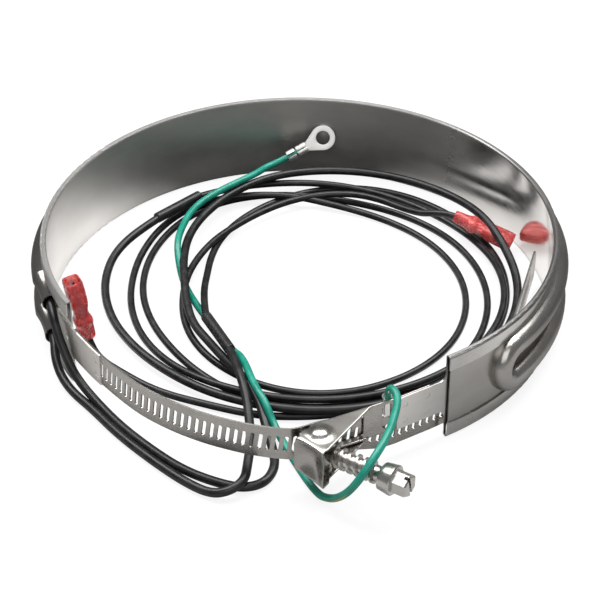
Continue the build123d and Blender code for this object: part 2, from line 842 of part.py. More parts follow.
cord_tube("lead_upper", lead_upper_route, lead_diameter)
cord_tube("lead_lower", lead_lower_route, lead_diameter)
cord_tube("ground_wire", ground_route, wire_diameter)
cord_tube("ground_wire_end", ground_end_route, wire_diameter)
cord_tube("lead_end_left", lead_end_route, wire_diameter)

# Stored leads: the outer shape of their loops, with a pocket for the right terminal
with BuildPart() as lead_coil:
    with BuildSketch():
        with Locations(coil_centre):
            Circle(coil_radius)
        with Locations(coil_eye_centre):
            Ellipse(coil_radius - coil_widths[0], coil_radius - coil_widths[1], mode=Mode.SUBTRACT)
    extrude(amount=coil_height)
    fillet(lead_coil.edges().filter_by(Plane.XY), radius=coil_edge_radius)
    with BuildSketch(terminal_plane(entry, mouth, width, 0)):
        Rectangle(boot_width + 2 * pocket_clearance, boot_thickness + 2.4 + 2 * pocket_clearance)
    extrude(amount=boot_length + 4, mode=Mode.SUBTRACT)

lead_coil.part.label = "lead_coil"
export_step(lead_coil.part, "parts/lead_coil.step")

# Shrink sleeves on top of the stored leads, their ends as angle about the coil and distance
# inside its outer edge
sleeve_level = coil_height + sleeve_diameter / 2 - 0.6
sleeve_ends = (
    ("splice_sleeve_upper", (215.22, 34.62), (238.64, 24.85)),
    ("splice_sleeve_lower", (148.09, 7.86), (129.2, 9.18)),
)
for name, first, last in sleeve_ends:
    first_end, last_end = [
        Vector(*coil_centre, sleeve_level) + polar(angle, coil_radius - inset)
        for angle, inset in (first, last)
    ]
    with BuildPart() as splice_sleeve:
        with BuildSketch(Plane(origin=first_end, z_dir=last_end - first_end)):
            Circle(sleeve_diameter / 2)
        extrude(amount=(last_end - first_end).length)
        fillet(splice_sleeve.edges().filter_by(GeomType.CIRCLE), radius=0.6)
    splice_sleeve.part.label = name
    export_step(splice_sleeve.part, f"parts/{name}.step")
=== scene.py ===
import math
import bpy
from mathutils import Matrix, Vector


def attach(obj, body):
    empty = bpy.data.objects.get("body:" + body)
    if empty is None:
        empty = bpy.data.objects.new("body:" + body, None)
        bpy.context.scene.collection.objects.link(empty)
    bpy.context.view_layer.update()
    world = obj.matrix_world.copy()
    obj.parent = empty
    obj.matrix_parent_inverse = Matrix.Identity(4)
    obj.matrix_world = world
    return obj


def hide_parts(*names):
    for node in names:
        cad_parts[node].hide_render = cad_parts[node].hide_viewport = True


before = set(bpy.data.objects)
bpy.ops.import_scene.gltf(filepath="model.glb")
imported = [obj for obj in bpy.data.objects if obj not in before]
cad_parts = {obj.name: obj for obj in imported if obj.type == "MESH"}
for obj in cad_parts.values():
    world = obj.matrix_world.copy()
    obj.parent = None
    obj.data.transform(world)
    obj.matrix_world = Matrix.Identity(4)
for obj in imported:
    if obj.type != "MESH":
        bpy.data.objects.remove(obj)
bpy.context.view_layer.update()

scene = bpy.context.scene
print("band heater: frame loaded")


def deselectAll():
    bpy.ops.object.select_all(action="DESELECT")


# Camera
cameraSettings = {
    "place": (0.00009, -0.67191, 0.48030),
    "lookUpDegrees": 54.473,
    "lensMillimetres": 118.08,
}


def addCamera():
    turn = (math.radians(cameraSettings["lookUpDegrees"]), 0, 0)
    bpy.ops.object.camera_add(location=cameraSettings["place"], rotation=turn)
    camera = bpy.context.object
    camera.name = "camera"
    camera.data.sensor_width = 36
    camera.data.lens = cameraSettings["lensMillimetres"]
    camera.data.clip_end = 20
    scene.camera = camera


addCamera()
print("camera placed")


# Shader maths on node sockets
class Value:
    def __init__(self, nodes, socket):
        self.nodes = nodes
        self.socket = socket

    def maths(self, operation, *others):
        node = self.nodes.new("ShaderNodeMath")
        node.operation = operation
        for slot, item in zip(node.inputs, (self,) + others):
            if isinstance(item, Value):
                self.nodes.id_data.links.new(item.socket, slot)
            else:
                slot.default_value = item
        return Value(self.nodes, node.outputs[0])

    def __add__(self, other):
        return self.maths("ADD", other)

    def __radd__(self, other):
        return self.maths("ADD", other)

    def __sub__(self, other):
        return self.maths("SUBTRACT", other)

    def __rsub__(self, other):
        return (self * -1).maths("ADD", other)

    def __mul__(self, other):
        return self.maths("MULTIPLY", other)

    def __rmul__(self, other):
        return self.maths("MULTIPLY", other)

    def above(self, edge):
        return self.maths("GREATER_THAN", edge)

    def size(self):
        return self.maths("ABSOLUTE")

    def limited(self):
        return self.maths("MINIMUM", 1.0).maths("MAXIMUM", 0.0)


class Finish:
    def __init__(self, name):
        self.material = bpy.data.materials.new(name)
        self.material.use_nodes = True
        self.nodes = self.material.node_tree.nodes
        self.links = self.material.node_tree.links
        self.shader = self.nodes["Principled BSDF"]

    def node(self, kind, settings=None, **values):
        made = self.nodes.new(kind)
        for name, setting in (settings or {}).items():
            if name == "stops":
                ramp = made.color_ramp
                while len(ramp.elements) < len(setting):
                    ramp.elements.new(0.5)
                for stop, (place, colour) in zip(ramp.elements, setting):
                    stop.position = place
                    stop.color = (*colour, 1)
            else:
                setattr(made, name, setting)
        for name, value in values.items():
            slot = made.inputs[name.replace("_", " ")]
            if isinstance(value, Value):
                self.links.new(value.socket, slot)
            else:
                slot.default_value = value
        return made

    def out(self, node, output=0):
        return Value(self.nodes, node.outputs[output])

    def feed(self, slotName, value):
        slot = self.shader.inputs[slotName]
        if isinstance(value, Value):
            self.links.new(value.socket, slot)
        else:
            slot.default_value = value

    def fed(self, slotName):
        return Value(self.nodes, self.shader.inputs[slotName].links[0].from_socket)

    def place(self, scale=(1, 1, 1)):
        coordinate = self.node("ShaderNodeTexCoord")
        spot = self.out(coordinate, "Object")
        return self.out(self.node("ShaderNodeMapping", None, Vector=spot, Scale=scale))

    def xyz(self):
        coordinate = self.node("ShaderNodeTexCoord")
        split = self.node("ShaderNodeSeparateXYZ", None, Vector=self.out(coordinate, "Object"))
        return [self.out(split, axis) for axis in ("X", "Y", "Z")]

    def noise(self, scale, detail=3.0, stretch=(1, 1, 1), roughness=0.5):
        made = self.node(
            "ShaderNodeTexNoise", None,
            Vector=self.place(stretch), Scale=scale, Detail=detail, Roughness=roughness,
        )
        return self.out(made, 0)

    def ramp(self, value, stops):
        made = self.node("ShaderNodeValToRGB", {"stops": stops}, Fac=value)
        return self.out(made, 0)

    def blendColours(self, share, first, second):
        made = self.nodes.new("ShaderNodeMix")
        made.data_type = "RGBA"
        slots = (made.inputs[0], made.inputs[6], made.inputs[7])
        for slot, item in zip(slots, (share, first, second)):
            if isinstance(item, Value):
                self.links.new(item.socket, slot)
            else:
                slot.default_value = item if isinstance(item, float) else (*item, 1)
        return Value(self.nodes, made.outputs[2])

    def bump(self, height, strength, distance):
        made = self.node(
            "ShaderNodeBump", None, Height=height, Strength=strength, Distance=distance
        )
        self.feed("Normal", self.out(made))


def sheetSteel(name, tones, roughness=0.2, smear=0.6, grain=0.1, relief=0.05):
    # Rolled sheet: the grain runs round the ring, so highlights smear up and down
    finish = Finish(name)
    lines = finish.noise(1500, 2.0, (0.04, 0.04, 1.0))
    cloud = finish.noise(22, 4.0, (1.0, 1.0, 2.0), roughness=0.6)
    smudge = finish.noise(70, 5.0, roughness=0.65)
    tone = finish.ramp(cloud, [(0.3, tones[0]), (0.7, tones[1])])
    finish.feed("Base Color", finish.blendColours(lines * grain * 2, tone, tones[2]))
    finish.feed("Metallic", 1.0)
    finish.feed("Roughness", roughness + (smudge - 0.5) * 0.16 + (lines - 0.5) * grain)
    finish.feed("Anisotropic", smear)
    finish.feed("Anisotropic Rotation", 0.25)
    finish.bump(lines, relief, 0.0003)
    return finish


bandValues = {
    "leftFrom": -0.068,
    "leftShare": 0.5,
    "rightFrom": 0.055,
    "rightShare": 0.75,
    "tongueFrom": -0.085,
    "tongueShare": 0.75,
    # Painted highlight colour for the wall's ends and front
    "paintedLightTone": (0.9, 0.87, 0.84),
    "edgeHeight": 0.0373,
    "edgeShare": 0.6,
    "edgeTone": (0.12, 0.12, 0.12),
    "edgeRoughness": 0.25,
    "polishFrom": 0.058,
    "polish": 0.24,
}


def paintBandLightAndEdge(finish):
    # Painted highlight: the inner wall's colour is lightened towards its ends and its front; its
    # reflections are sharpest at its right end, and it is darker and rougher on its top edge
    values = bandValues
    x, y, z = finish.xyz()
    toLeft = ((x - values["leftFrom"]) * -45).limited() * values["leftShare"]
    toRight = ((x - values["rightFrom"]) * 30).limited() * values["rightShare"]
    toTongue = ((y - values["tongueFrom"]) * -60).limited() * values["tongueShare"]
    toEnds = (toLeft + toRight).maths("MAXIMUM", toTongue)
    edge = z.above(values["edgeHeight"])
    # Painted highlight: the wall's colour is mixed towards a light tone at its ends and front
    paintedLightWall = finish.blendColours(toEnds, finish.fed("Base Color"), values["paintedLightTone"])
    dull = finish.blendColours(edge * values["edgeShare"], paintedLightWall, values["edgeTone"])
    finish.feed("Base Color", dull)
    polish = ((x - values["polishFrom"]) * 45).limited() * values["polish"]
    rough = finish.fed("Roughness") - polish + edge * values["edgeRoughness"]
    finish.feed("Roughness", rough)


coverValues = {
    "leftFrom": -0.085,
    "leftShare": 0.7,
    "leftTone": (0.13, 0.12, 0.11),
    "ridgeMiddle": 0.019,
    "heatFrom": 0.06,
    "heatShare": 0.5,
    "heatTone": (0.2, 0.165, 0.13),
}


def darkenCoverLeftAndHeatTint(finish):
    # Darkest at its left end, with a brown heat tint along the ridges on the right
    values = coverValues
    x, y, z = finish.xyz()
    toLeft = ((x - values["leftFrom"]) * -40).limited()
    blotch = finish.noise(45, 4.0, (1, 1, 2.5), roughness=0.6)
    onRidges = ((z - values["ridgeMiddle"]).size() * -160 + 2.2).limited()
    toRight = ((x - values["heatFrom"]) * 30).limited()
    tint = onRidges * toRight * (blotch * 1.6 - 0.3).limited()
    plain = finish.fed("Base Color")
    # The colour is darker towards the left end
    dark = finish.blendColours(toLeft * values["leftShare"], plain, values["leftTone"])
    heated = finish.blendColours(tint * values["heatShare"], dark, values["heatTone"])
    finish.feed("Base Color", heated)


finishes = {
    "band": {
        "tones": ((0.42, 0.41, 0.395), (0.56, 0.545, 0.52), (0.3, 0.29, 0.28)),
        "roughness": 0.36,
        "smear": 0.6,
    },
    "cover": {
        "tones": ((0.34, 0.33, 0.315), (0.5, 0.485, 0.46), (0.2, 0.19, 0.18)),
        "roughness": 0.24,
        "smear": 0.5,
    },
    "strap": {
        "tones": ((0.37, 0.35, 0.33), (0.5, 0.48, 0.45), (0.28, 0.265, 0.25)),
        "roughness": 0.26,
        "relief": 0.02,
    },
    "anchor": {
        "tones": ((0.72, 0.69, 0.65), (0.84, 0.81, 0.77), (0.55, 0.52, 0.48)),
        "roughness": 0.4,
        "relief": 0.02,
    },
    "housing": {
        "tones": ((0.32, 0.305, 0.285), (0.48, 0.46, 0.43), (0.22, 0.21, 0.19)),
        "roughness": 0.28,
        "smear": 0.2,
        "relief": 0.02,
    },
    "screw": {
        "tones": ((0.42, 0.405, 0.38), (0.58, 0.56, 0.53), (0.28, 0.265, 0.25)),
        "roughness": 0.26,
        "smear": 0.0,
    },
    "tin": {
        "tones": ((0.72, 0.71, 0.68), (0.84, 0.83, 0.8), (0.55, 0.54, 0.52)),
        "roughness": 0.2,
        "smear": 0.0,
    },
    "terminal": {
        "tones": ((0.6, 0.59, 0.57), (0.74, 0.73, 0.71), (0.5, 0.49, 0.47)),
        "roughness": 0.5,
        "smear": 0.0,
        "relief": 0.02,
    },
}
steels = {name: sheetSteel(f"{name}Steel", **values) for name, values in finishes.items()}
paintBandLightAndEdge(steels["band"])
darkenCoverLeftAndHeatTint(steels["cover"])
steels = {name: finish.material for name, finish in steels.items()}


def leadRubber():
    finish = Finish("leadRubber")
    dust = finish.noise(240, 3.0)
    colour = finish.ramp(dust, [(0.35, (0.004, 0.004, 0.0045)), (0.8, (0.02, 0.02, 0.021))])
    finish.feed("Base Color", colour)
    finish.feed("Roughness", 0.36 + (dust - 0.5) * 0.25)
    finish.feed("Specular IOR Level", 0.42)
    finish.bump(finish.noise(900, 2.0), 0.12, 0.0002)
    return finish.material


stripeValues = {
    "side": (-0.45, -0.69, -0.57),
    "edge": 0.9,
    "share": 0.75,
    "tone": (0.36, 0.27, 0.03),
}


def wireGreen():
    finish = Finish("wireGreen")
    mottle = finish.noise(180, 3.0)
    colour = finish.ramp(mottle, [(0.3, (0.0, 0.19, 0.13)), (0.75, (0.01, 0.29, 0.21))])
    # A thin yellow stripe lies on the side of the wire that faces this way
    values = stripeValues
    coordinate = finish.node("ShaderNodeTexCoord")
    facing = finish.node("ShaderNodeVectorMath", {"operation": "DOT_PRODUCT"})
    finish.links.new(coordinate.outputs["Normal"], facing.inputs[0])
    facing.inputs[1].default_value = values["side"]
    stripe = ((finish.out(facing, "Value") - values["edge"]) * 30).limited()
    striped = finish.blendColours(stripe * values["share"], colour, values["tone"])
    finish.feed("Base Color", striped)
    finish.feed("Roughness", 0.34 + (mottle - 0.5) * 0.2)
    finish.bump(finish.noise(700, 2.0), 0.1, 0.0002)
    return finish.material


def bootPink():
    finish = Finish("bootPink")
    swirl = finish.noise(260, 4.0, roughness=0.7)
    colour = finish.ramp(swirl, [
        (0.35, (0.72, 0.06, 0.07)),
        (0.58, (0.88, 0.2, 0.19)),
        (0.75, (0.96, 0.52, 0.48)),
    ])
    finish.feed("Base Color", colour)
    finish.feed("Roughness", 0.16 + swirl * 0.2)
    finish.feed("Transmission Weight", 0.6)
    finish.feed("IOR", 1.4)
    finish.bump(swirl, 0.3, 0.0006)
    return finish.material


def sheathWhite():
    finish = Finish("sheathWhite")
    braid = finish.noise(500, 2.0)
    colour = finish.ramp(braid, [(0.3, (0.5, 0.48, 0.44)), (0.7, (0.72, 0.7, 0.66))])
    finish.feed("Base Color", colour)
    finish.feed("Roughness", 0.7)
    return finish.material


rubber = leadRubber()
green = wireGreen()
pink = bootPink()
sheath = sheathWhite()
nodeFinishes = {
    "inner_band": steels["band"],
    "outer_cover": steels["cover"],
    "anchor_strap": steels["anchor"],
    "perforated_strap": steels["strap"],
    "clamp_housing": steels["strap"],
    "swivel_block": steels["screw"],
    "worm_screw": steels["screw"],
    "ground_lug": steels["tin"],
    "ring_terminal": steels["tin"],
    "lead_joint_upper": steels["tin"],
    "lead_joint_lower": steels["tin"],
    "terminal_receptacle_left": steels["tin"],
    "terminal_receptacle_right": steels["tin"],
    "terminal_cover_left": pink,
    "terminal_cover_right": pink,
    "heating_cable": sheath,
    "splice_sleeve_upper": rubber,
    "splice_sleeve_lower": rubber,
}
for nodeName, material in nodeFinishes.items():
    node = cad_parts[nodeName]
    for slot in node.material_slots:
        slot.material = material
print("finishes given to the loaded pieces")


def localFrame(origin, along, up):
    first = Vector(along).normalized()
    third = Vector(up)
    third = (third - first * third.dot(first)).normalized()
    turn = Matrix((first, third.cross(first), third)).transposed().to_4x4()
    return Matrix.Translation(origin) @ turn


def applyModifiers(piece):
    deselectAll()
    piece.select_set(True)
    bpy.context.view_layer.objects.active = piece
    for modifier in list(piece.modifiers):
        bpy.ops.object.modifier_apply(modifier=modifier.name)


def finishPiece(piece, name, material, place=None, smoothDegrees=40):
    # Moves the shape into its mesh, shades it and gives it its material
    piece.name = name
    piece.data.name = name
    if place is not None:
        piece.data.transform(place)
    piece.data.materials.clear()
    piece.data.materials.append(material)
    deselectAll()
    piece.select_set(True)
    bpy.context.view_layer.objects.active = piece
    bpy.ops.object.mode_set(mode="EDIT")
    bpy.ops.mesh.select_all(action="SELECT")
    bpy.ops.mesh.normals_make_consistent(inside=False)
    bpy.ops.object.mode_set(mode="OBJECT")
    bpy.ops.object.shade_smooth_by_angle(angle=math.radians(smoothDegrees))
    deselectAll()


# Ring terminal: a teardrop plate, and two barrels crimped round the green wire
ringTerminal = {
    "centre": (0.010493, 0.099005, 0.0204),
    "along": (-0.875, -0.281, -0.394),
    "up": (0.0, -0.814, 0.581),
    "ringRadius": 0.00565,
    "holeRadius": 0.0031,
    "sheet": 0.0009,
    "neckHalfWidth": 0.0018,
    "neckEnd": 0.0088,
    "stripEnd": 0.0182,
    "barrelLift": 0.00175,
    "barrelRadius": 0.00205,
    "barrelSheet": 0.0005,
    "barrels": {
        "wireCrimp": {"start": 0.0086, "end": 0.0134, "gap": 0.0002, "dent": 0.0004},
        "sheathCrimp": {"start": 0.0142, "end": 0.0182, "gap": 0.0012, "dent": 0.0},
    },
}


def addTeardrop(values):
    deselectAll()
    bpy.ops.mesh.primitive_circle_add(vertices=72, radius=values["ringRadius"], location=(0, 0, 0))
    piece = bpy.context.object
    bpy.ops.object.mode_set(mode="EDIT")
    bpy.ops.mesh.primitive_circle_add(vertices=72, radius=values["holeRadius"], location=(0, 0, 0))
    bpy.ops.mesh.select_all(action="SELECT")
    bpy.ops.mesh.bridge_edge_loops()
    bpy.ops.object.mode_set(mode="OBJECT")
    corner = Vector((values["neckEnd"], values["neckHalfWidth"]))
    tangent = corner.angle(Vector((1, 0))) + math.acos(values["ringRadius"] / corner.length)
    touch = Vector((math.cos(tangent), math.sin(tangent))) * values["ringRadius"]
    flat = math.radians(14)
    for vertex in piece.data.vertices:
        angle = math.atan2(vertex.co.y, vertex.co.x)
        side = 1 if angle >= 0 else -1
        if vertex.co.length < values["ringRadius"] * 0.9 or abs(angle) >= tangent:
            continue
        if abs(angle) <= flat:
            vertex.co.x = corner.x
            vertex.co.y = corner.y * angle / flat
        else:
            spot = corner.lerp(touch, (abs(angle) - flat) / (tangent - flat))
            vertex.co.x = spot.x
            vertex.co.y = spot.y * side
    # The neck's end runs on as the strip under the barrels
    bpy.ops.object.mode_set(mode="EDIT")
    bpy.ops.mesh.select_all(action="DESELECT")
    bpy.ops.object.mode_set(mode="OBJECT")
    for edge in piece.data.edges:
        ends = [piece.data.vertices[index].co for index in edge.vertices]
        edge.select = all(end.x > corner.x - 1e-6 for end in ends)
    bpy.ops.object.mode_set(mode="EDIT")
    bpy.context.tool_settings.mesh_select_mode = (False, True, False)
    reach = values["stripEnd"] - values["neckEnd"]
    bpy.ops.mesh.extrude_edges_move(TRANSFORM_OT_translate={"value": (reach, 0, 0)})
    bpy.ops.object.mode_set(mode="OBJECT")
    solid = piece.modifiers.new("sheet", "SOLIDIFY")
    solid.thickness = values["sheet"]
    solid.offset = 0
    bevel = piece.modifiers.new("edges", "BEVEL")
    bevel.width = 0.0002
    bevel.segments = 2
    applyModifiers(piece)
    return piece


def addBarrel(values, start, end, gap, dent):
    deselectAll()
    bpy.ops.mesh.primitive_cylinder_add(
        vertices=40, radius=values["barrelRadius"], depth=end - start, end_fill_type="NOTHING",
        location=((start + end) / 2, 0, values["barrelLift"]), rotation=(0, math.pi / 2, 0),
    )
    piece = bpy.context.object
    bpy.ops.object.transform_apply(location=True, rotation=True, scale=True)
    top = values["barrelLift"] + values["barrelRadius"] * 0.8
    bpy.context.tool_settings.mesh_select_mode = (False, False, True)
    for polygon in piece.data.polygons:
        polygon.select = polygon.center.z > top and abs(polygon.center.y) <= gap / 2 + 0.0001
    bpy.ops.object.mode_set(mode="EDIT")
    bpy.ops.mesh.delete(type="FACE")
    bpy.ops.mesh.select_all(action="SELECT")
    bpy.ops.mesh.subdivide(number_cuts=3)
    bpy.ops.object.mode_set(mode="OBJECT")
    for vertex in piece.data.vertices:
        near = max(0.0, 1 - abs(vertex.co.y) / (values["barrelRadius"] * 0.5))
        if vertex.co.z > values["barrelLift"]:
            vertex.co.z -= dent * near
    solid = piece.modifiers.new("sheet", "SOLIDIFY")
    solid.thickness = values["barrelSheet"]
    solid.offset = 1
    bevel = piece.modifiers.new("edges", "BEVEL")
    bevel.width = 0.00012
    bevel.segments = 2
    bevel.limit_method = "ANGLE"
    applyModifiers(piece)
    return piece


def buildRingTerminal():
    values = ringTerminal
    parts = [addTeardrop(values)]
    parts += [addBarrel(values, **barrel) for barrel in values["barrels"].values()]
    deselectAll()
    for part in parts:
        part.select_set(True)
    bpy.context.view_layer.objects.active = parts[0]
    bpy.ops.object.join()
    piece = parts[0]
    place = localFrame(values["centre"], values["along"], values["up"])
    finishPiece(piece, "ringTerminalDetail", steels["terminal"], place)
    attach(piece, "heater")
    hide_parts("ring_terminal")
    return piece


terminal = buildRingTerminal()
print("ring terminal made")


# Boots: soft shells over the push-on receptacles
# Each section: how far from the lead's end, half width, half thickness, squareness
bootValues = {
    "wall": 0.0006,
    "sides": 40,
    "waistRadius": 0.0021,
    "sections": (
        (0.0, 0.0023, 0.0022, 2.0),
        (0.0012, 0.0027, 0.0025, 2.0),
        (0.0066, 0.0028, 0.0026, 2.0),
        (0.0078, 0.0042, 0.0027, 3.0),
        (0.0098, 0.0044, 0.0028, 3.5),
        (0.0110, 0.0034, 0.0021, 3.0),
        (0.0146, 0.0033, 0.0020, 3.0),
        (0.0162, 0.0042, 0.0026, 4.0),
        (0.0215, 0.0044, 0.0026, 5.0),
        (0.0268, 0.0044, 0.0026, 5.0),
        (0.0279, 0.0042, 0.0024, 5.0),
    ),
    "boots": {
        "bootLeft": {
            "leadEnd": (-0.0848, -0.0388, 0.0096),
            "mouth": (-0.0896, -0.0376, 0.0365),
            "wide": (0.39, -0.92, 0.11),
            "spread": 1.4,
            "node": "terminal_cover_left",
        },
        "bootRight": {
            "leadEnd": (0.0672, 0.0466, 0.0124),
            "mouth": (0.0925, 0.0367, 0.0045),
            "wide": (0.365, 0.931, 0.0),
            "spread": 1.1,
            "node": "terminal_cover_right",
        },
    },
}


def addBoot(name, leadEnd, mouth, wide, spread, node):
    sections = bootValues["sections"]
    deselectAll()
    sides = bootValues["sides"]
    bpy.ops.mesh.primitive_circle_add(vertices=sides, radius=0.002, location=(0, 0, 0))
    piece = bpy.context.object
    bpy.ops.object.mode_set(mode="EDIT")
    bpy.context.tool_settings.mesh_select_mode = (False, True, False)
    bpy.ops.mesh.select_all(action="SELECT")
    for first, second in zip(sections, sections[1:]):
        rise = second[0] - first[0]
        bpy.ops.mesh.extrude_edges_move(TRANSFORM_OT_translate={"value": (0, 0, rise)})
    bpy.ops.object.mode_set(mode="OBJECT")
    for vertex in piece.data.vertices:
        along, width, thickness, square = min(sections, key=lambda item: abs(item[0] - vertex.co.z))
        angle = math.atan2(vertex.co.y, vertex.co.x)
        across, over = math.cos(angle), math.sin(angle)
        vertex.co.x = math.copysign(abs(across) ** (2 / square), across) * width
        vertex.co.y = math.copysign(abs(over) ** (2 / square), over) * thickness * spread
    deselectAll()
    piece.select_set(True)
    bpy.context.view_layer.objects.active = piece
    bpy.ops.object.mode_set(mode="EDIT")
    bpy.ops.mesh.select_all(action="SELECT")
    bpy.ops.mesh.normals_make_consistent(inside=False)
    bpy.ops.object.mode_set(mode="OBJECT")
    solid = piece.modifiers.new("wall", "SOLIDIFY")
    solid.thickness = bootValues["wall"]
    solid.offset = -1
    smooth = piece.modifiers.new("soft", "SUBSURF")
    smooth.levels = 2
    smooth.render_levels = 2
    applyModifiers(piece)
    along = Vector(mouth) - Vector(leadEnd)
    # The shell runs exactly along its lead, so its up is the run and its width leans to suit
    up = along.normalized()
    across = Vector(wide)
    across = (across - up * across.dot(up)).normalized()
    turn = Matrix((across, up.cross(across), up)).transposed().to_4x4()
    place = Matrix.Translation(leadEnd) @ turn
    finishPiece(piece, name, pink, place, 60)
    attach(piece, "heater")
    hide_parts(node)
    return piece


boots = {name: addBoot(name, **values) for name, values in bootValues["boots"].items()}
print("boots made")


# Clamp housing: its corners are rolled, its front is pressed in and its pin head swells
housingValues = {
    "voxel": 0.0003,
    "smoothing": 6,
    "frontCentre": (0.00293, -0.12678, 0.01905),
    "frontNormal": (-0.6879, -0.7258, 0.0),
    "frontAlong": (0.7258, -0.6879, 0.0),
    "frontHalfWidth": 0.0073,
    "frontHalfHeight": 0.00745,
    "frontSkin": 0.0014,
    "frontDent": 0.0036,
    "cornerDepth": 0.0045,
    "cornerDrop": 0.0020,
    "rollReach": 0.0028,
    "rollSmoothing": 140,
    "pinCentre": (0.0073192, -0.1196732),
    "pinDepth": 0.0035,
    "pinSwell": 0.0009,
    "pinReach": 0.0062,
    "pinSoftness": 1.0,
    "topHeight": 0.0253,
}


def buildHousing():
    values = housingValues
    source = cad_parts["clamp_housing"]
    piece = bpy.data.objects.new("clampHousingDetail", source.data.copy())
    bpy.context.collection.objects.link(piece)
    deselectAll()
    piece.select_set(True)
    bpy.context.view_layer.objects.active = piece
    bpy.ops.object.mode_set(mode="EDIT")
    bpy.ops.mesh.select_all(action="SELECT")
    bpy.ops.mesh.remove_doubles(threshold=1e-6)
    bpy.ops.object.mode_set(mode="OBJECT")
    remesh = piece.modifiers.new("even", "REMESH")
    remesh.mode = "VOXEL"
    remesh.voxel_size = values["voxel"]
    smooth = piece.modifiers.new("soft", "SMOOTH")
    smooth.factor = 0.5
    smooth.iterations = values["smoothing"]
    applyModifiers(piece)
    centre = Vector(values["frontCentre"])
    normal = Vector(values["frontNormal"])
    along = Vector(values["frontAlong"])
    pinX, pinY = values["pinCentre"]
    roll = piece.vertex_groups.new(name="roll")
    for vertex in piece.data.vertices:
        spot = vertex.co - centre
        across = spot.dot(along) / values["frontHalfWidth"]
        up = spot.z / values["frontHalfHeight"]
        depth = spot.dot(normal)
        toEdge = math.hypot(depth + 0.0004, spot.z - values["frontHalfHeight"])
        if toEdge < values["rollReach"] and abs(across) < 1.05:
            roll.add([vertex.index], 1.0, "REPLACE")
        if abs(depth) < values["frontSkin"] and abs(across) < 1 and abs(up) < 1:
            hollow = (1 - across ** 2) * (1 - up ** 2)
            vertex.co -= normal * (values["frontDent"] * hollow)
        if depth > -values["cornerDepth"] and abs(across) <= 1.1 and up < 0:
            vertex.co.z += values["cornerDrop"] * min(1, (across + 1.1) / 2) * up * 0.95
        away = math.hypot(vertex.co.x - pinX, vertex.co.y - pinY)
        onTop = vertex.co.z > values["topHeight"] and depth < -values["pinDepth"]
        if onTop and away < values["pinReach"]:
            swell = 0.5 + 0.5 * math.cos(math.pi * away / values["pinReach"])
            vertex.co.z += values["pinSwell"] * swell
            roll.add([vertex.index], values["pinSoftness"], "REPLACE")
    rolled = piece.modifiers.new("roll", "SMOOTH")
    rolled.factor = 0.5
    rolled.iterations = values["rollSmoothing"]
    rolled.vertex_group = "roll"
    applyModifiers(piece)
    piece.vertex_groups.clear()
    finishPiece(piece, "clampHousingDetail", steels["housing"], None, 50)
    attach(piece, "heater")
    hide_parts("clamp_housing")


buildHousing()
print("clamp housing made")


# Cords: each is laid on the floor and over those laid before it
cordStyles = {
    "thickRadius": 0.0018,
    "thinRadius": 0.0015,
    "slack": 0.00015,
    "pointsPerTurn": 24,
    "coilCentre": (0.008, 0.006),
    "stationDegrees": 45,
}
laid = []


def coilPoint(degrees, radius):
    centre = cordStyles["coilCentre"]
    angle = math.radians(degrees)
    return (centre[0] + radius * math.cos(angle), centre[1] + radius * math.sin(angle))


def turnPoints(startDegrees, endDegrees, radii):
    # radii are given every 45 degrees, going round clockwise seen from above
    step = 360 / cordStyles["pointsPerTurn"]
    count = int((startDegrees - endDegrees) / step)
    points = []
    for number in range(count + 1):
        travelled = number * step
        station = travelled / cordStyles["stationDegrees"]
        index = min(int(station), len(radii) - 2)
        share = station - index
        before = radii[max(index - 1, 0)]
        after = radii[min(index + 2, len(radii) - 1)]
        first, second = radii[index], radii[index + 1]
        radius = first + 0.5 * share * (
            second - before
            + share * (2 * before - 5 * first + 4 * second - after
                       + share * (3 * (first - second) + after - before))
        )
        points.append((*coilPoint(startDegrees - travelled, radius), 0.0))
    return points


def restHeight(x, y, radius):
    height = radius
    for laidX, laidY, laidZ, laidRadius in laid:
        reach = radius + laidRadius + cordStyles["slack"]
        gap = (x - laidX) ** 2 + (y - laidY) ** 2
        if gap < reach * reach:
            height = max(height, laidZ + math.sqrt(reach * reach - gap))
    return height


def settle(points, radius, freeFrom, freeTo):
    # Lifts the points from freeFrom to freeTo over the cords below them and lets the rest lie
    lowest = []
    for index, (x, y, z) in enumerate(points):
        height = z
        if freeFrom <= index <= freeTo:
            for other in (points[max(index - 1, 0)], points[min(index + 1, len(points) - 1)]):
                for share in (0.0, 0.2, 0.4):
                    spotX = x + (other[0] - x) * share
                    spotY = y + (other[1] - y) * share
                    height = max(height, restHeight(spotX, spotY, radius))
        lowest.append(height)
    heights = list(lowest)
    for sweepCount in range(60):
        for index in range(max(freeFrom, 1), min(freeTo, len(points) - 2) + 1):
            level = (heights[index - 1] + heights[index + 1]) / 2 - 0.0003
            heights[index] = max(lowest[index], level)
    return [(x, y, height) for (x, y, z), height in zip(points, heights)]


def curveSamples(curve):
    flat = curve.copy()
    flat.data = curve.data.copy()
    flat.data.bevel_depth = 0
    bpy.context.collection.objects.link(flat)
    mesh = bpy.data.meshes.new_from_object(flat)
    samples = [vertex.co.copy() for vertex in mesh.vertices]
    bpy.data.objects.remove(flat)
    return samples


def addCord(name, points, radius, material):
    curveData = bpy.data.curves.new(name, "CURVE")
    curveData.dimensions = "3D"
    curveData.resolution_u = 8
    curveData.bevel_depth = radius
    curveData.bevel_resolution = 5
    curveData.use_fill_caps = True
    spline = curveData.splines.new("NURBS")
    spline.points.add(len(points) - 1)
    for control, point in zip(spline.points, points):
        control.co = (*point, 1)
    spline.order_u = 3
    spline.use_endpoint_u = True
    curveData.materials.append(material)
    cord = bpy.data.objects.new(name, curveData)
    bpy.context.collection.objects.link(cord)
    samples = curveSamples(cord)
    length = sum((b - a).length for a, b in zip(samples, samples[1:]))
    for a, b in zip(samples, samples[1:]):
        for share in (0.0, 0.5):
            spot = a.lerp(b, share)
            laid.append((spot.x, spot.y, spot.z, radius))
    print(name, "length", round(length, 4))
    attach(cord, "heater")
    return cord


